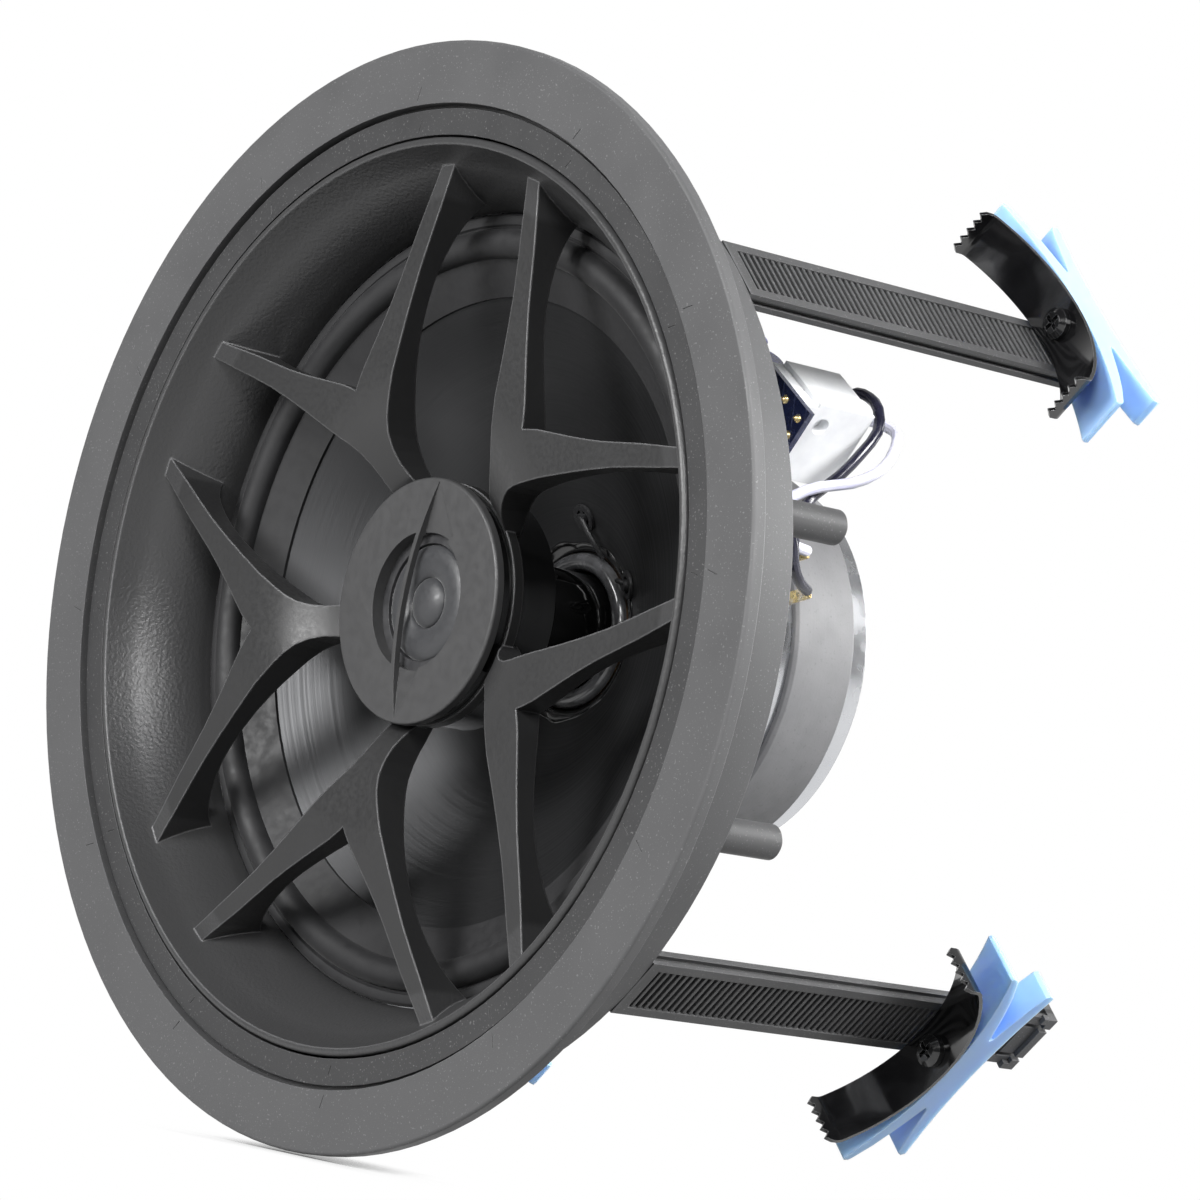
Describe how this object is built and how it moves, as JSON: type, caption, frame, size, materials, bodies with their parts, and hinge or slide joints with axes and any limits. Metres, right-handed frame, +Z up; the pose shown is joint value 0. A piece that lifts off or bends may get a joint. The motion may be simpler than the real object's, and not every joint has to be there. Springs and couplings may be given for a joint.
{
  "type": "ceiling speaker",
  "caption": "Round two-way ceiling speaker: flanged frame with sliding ratchet clamps, coaxial tweeter on forked spokes, woofer and crossover board.",
  "frame": {"origin": "centre of the flange's rear flat face, which rests on the ceiling", "axes": "+Y along the speaker's axis away from the room, so the face looks to -Y; +Z up between two clamp arms; +X to the right seen from the front"},
  "size_m": [0.272, 0.16, 0.272],
  "materials": {
    "frame_plastic": "fine textured satin",
    "dark_screws": "black zinc",
    "dark_trim": "satin",
    "diaphragm": "thin coated silk",
    "winding": "enamelled copper wire",
    "plated_steel": "bright zinc plate",
    "ferrite": "ground ferrite",
    "gloss_black": "polished black",
    "gasket": "cork rubber",
    "surround_rubber": "matte",
    "cone_metal": "dark brushed metal",
    "neck_skin": "soft, slightly shiny",
    "former": "kapton on a split former",
    "spider_cloth": "impregnated cotton",
    "board": "navy solder mask",
    "capacitor": "sleeved film",
    "white_plastic": "white",
    "red_plastic": "red and moulded",
    "brass": "tinned brass",
    "white_wire": "white insulation",
    "black_wire": "black insulation",
    "clamp_blue": "translucent light blue",
    "gloss_steel": "gloss black"
  },
  "bodies": {
    "speaker": {"frame": "frame_plastic", "baffle": "frame_plastic", "baffle_screws": "dark_screws", "tweeter_face": "frame_plastic", "tweeter_ring": "dark_trim", "tweeter_diaphragm": "diaphragm", "tweeter_coil": "winding", "tweeter_plate": "plated_steel", "tweeter_magnet": "ferrite", "tweeter_yoke": "plated_steel", "tweeter_housing": "gloss_black", "tweeter_post": "gloss_black", "woofer_basket": "plated_steel", "woofer_gasket": "gasket", "basket_screws": "dark_screws", "woofer_surround": "surround_rubber", "woofer_cone": "cone_metal", "neck_ring": "neck_skin", "coil_former": "former", "voice_coil": "winding", "spider": "spider_cloth", "top_plate": "plated_steel", "magnet": "ferrite", "back_plate": "plated_steel", "board_bracket": "plated_steel", "crossover_board": "board", "board_screws": "plated_steel", "inductor": "winding", "capacitors": "capacitor", "resistor": "white_plastic", "terminal_block": "white_plastic", "red_tab": "red_plastic", "black_tab": "dark_trim", "woofer_tabs": "brass", "white_lead": "white_wire", "black_lead": "black_wire", "tinsel_leads": "black_wire"},
    "clamp_1": {"slider_1": "clamp_blue", "clamp_spring_1": "gloss_steel", "clamp_screw_1": "gloss_steel"},
    "clamp_2": {"slider_2": "clamp_blue", "clamp_spring_2": "gloss_steel", "clamp_screw_2": "gloss_steel"},
    "clamp_3": {"slider_3": "clamp_blue", "clamp_spring_3": "gloss_steel", "clamp_screw_3": "gloss_steel"},
    "clamp_4": {"slider_4": "clamp_blue", "clamp_spring_4": "gloss_steel", "clamp_screw_4": "gloss_steel"}
  },
  "joints": [
    {"name": "clamp_slide_1", "type": "slide", "parent": "speaker", "child": "clamp_1", "axis": [0, -1, 0], "range_m": [-0.011, 0.099]},
    {"name": "clamp_slide_2", "type": "slide", "parent": "speaker", "child": "clamp_2", "axis": [0, -1, 0], "range_m": [-0.017, 0.093]},
    {"name": "clamp_slide_3", "type": "slide", "parent": "speaker", "child": "clamp_3", "axis": [0, -1, 0], "range_m": [-0.016, 0.094]},
    {"name": "clamp_slide_4", "type": "slide", "parent": "speaker", "child": "clamp_4", "axis": [0, -1, 0], "range_m": [-0.019, 0.091]}
  ]
}
